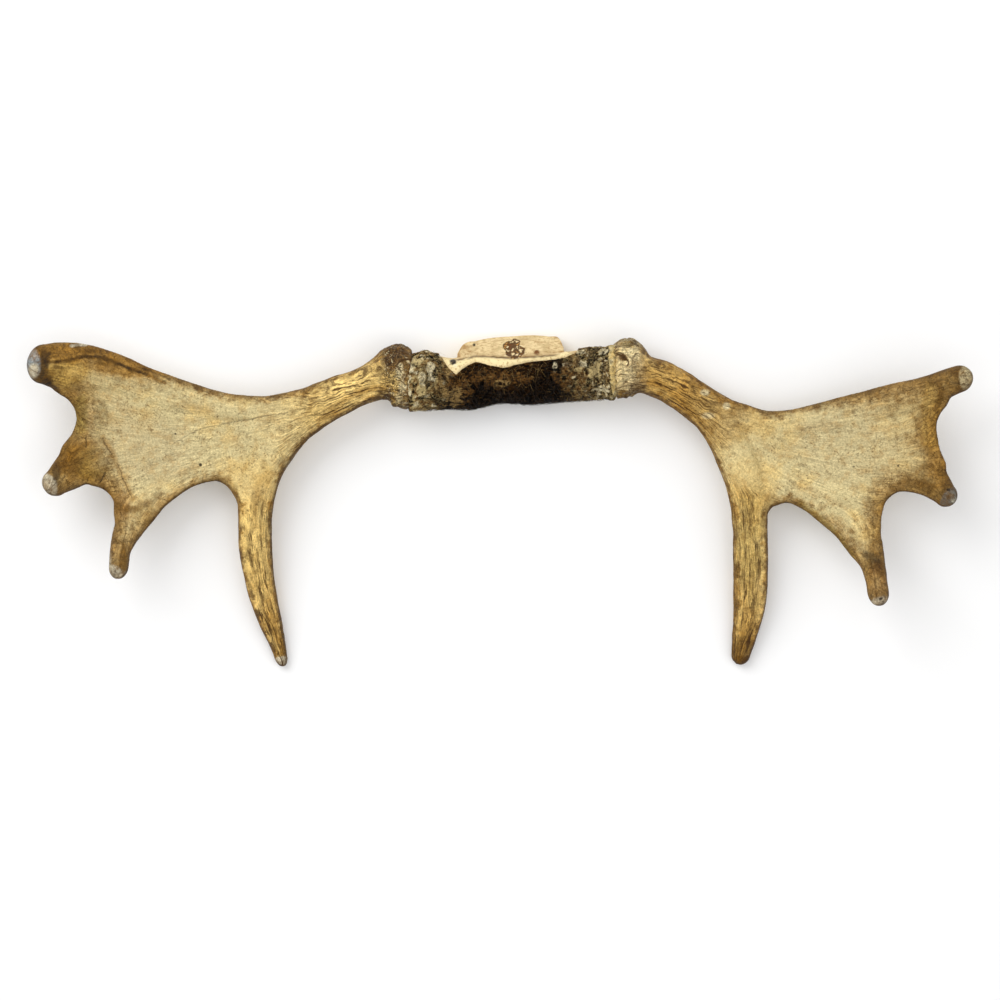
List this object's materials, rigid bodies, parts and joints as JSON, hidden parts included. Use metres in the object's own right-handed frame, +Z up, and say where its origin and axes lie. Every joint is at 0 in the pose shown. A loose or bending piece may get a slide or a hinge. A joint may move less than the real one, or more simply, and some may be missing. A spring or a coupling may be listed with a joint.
{
  "type": "moose antlers on skull plate",
  "caption": "Palmate moose antlers joined by a sawn skull plate with dried hide, lying on the plate's flat sawn face and the tips of the brow tines.",
  "frame": {"origin": "middle of the flat sawn underside of the skull plate", "axes": "+X along the spread, from the left palm to the right palm; -Y the way the brow tines point, towards the animal's nose; +Z up, away from the sawn face"},
  "size_m": [0.9395, 0.3326, 0.0999],
  "materials": {
    "antler": "weathered antler, tan to ochre with dark grooves, greyer and smoother on the palms",
    "bone": "dry sawn bone, cream",
    "hide": "dried hide with coarse dark hair"
  },
  "bodies": {
    "root": {"skull_plate": "bone", "hide": "hide", "left_beam": "antler", "left_palm": "antler", "left_brow_tine": "antler", "right_beam": "antler", "right_palm": "antler", "right_brow_tine": "antler"}
  },
  "joints": []
}
